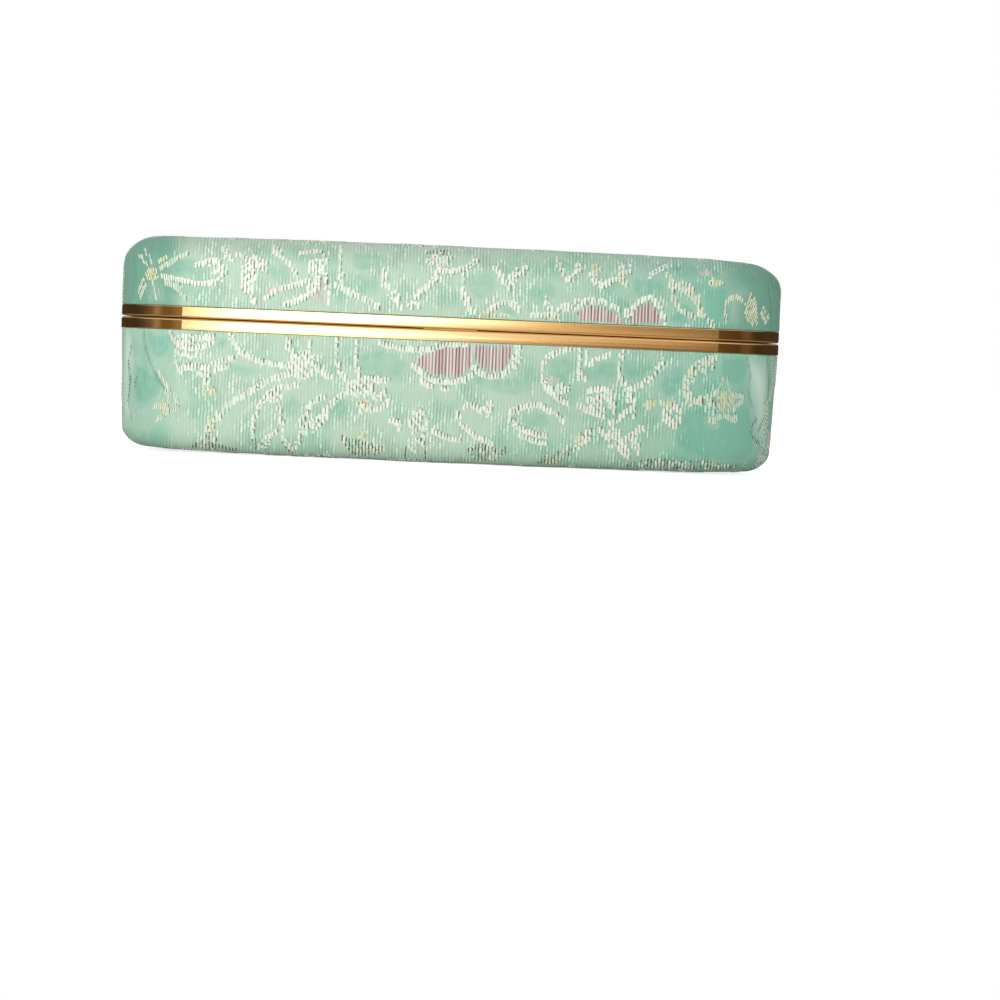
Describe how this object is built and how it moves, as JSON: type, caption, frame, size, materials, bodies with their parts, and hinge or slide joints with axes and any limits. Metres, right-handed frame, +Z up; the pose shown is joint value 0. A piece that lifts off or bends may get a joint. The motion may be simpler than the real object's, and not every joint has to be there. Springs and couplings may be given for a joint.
{
  "type": "brocade keepsake case",
  "caption": "Small hinged keepsake case, padded and covered in silk brocade, with gilt frames round its opening, a velvet lining and a mirror in the lid.",
  "frame": {"origin": "on the surface that the case stands on, under the middle of its underside", "axes": "+X along the case's length, to the right seen from the front; front towards -Y, hinge towards +Y; +Z up"},
  "size_m": [0.0882, 0.0312, 0.029],
  "materials": {
    "brocade": "satin weave with metallic and pink figures",
    "wadding": "soft polyester wadding",
    "pressed_steel": "bare pressed sheet",
    "gilt_brass": "polished and gilt",
    "steel_pin": "drawn wire",
    "velvet": "short pile",
    "card": "grey board",
    "foam": "open-cell foam sheet",
    "mirror": "silvered glass",
    "tape": "foam tape"
  },
  "bodies": {
    "base": {"base_brocade": "brocade", "base_wadding": "wadding", "base_shell": "pressed_steel", "base_floor_foam": "foam", "base_floor_board": "card", "base_floor_velvet": "velvet", "base_collar": "card", "base_collar_velvet": "velvet", "base_frame": "gilt_brass", "base_knuckles": "gilt_brass", "hinge_pin": "steel_pin", "catch_spring": "gilt_brass", "catch_rivets": "gilt_brass"},
    "lid": {"lid_brocade": "brocade", "lid_wadding": "wadding", "lid_shell": "pressed_steel", "lid_foam": "foam", "lid_board": "card", "lid_collar": "card", "lid_collar_velvet": "velvet", "mirror_tape": "tape", "mirror_glass": "mirror", "mirror_bezel": "gilt_brass", "lid_frame": "gilt_brass", "lid_knuckles": "gilt_brass"}
  },
  "joints": [
    {"name": "lid_hinge", "type": "hinge", "parent": "base", "child": "lid", "pos_m": [0, 0.01455, 0.0178], "axis": [-1, 0, 0], "range_deg": [0, 105]}
  ]
}
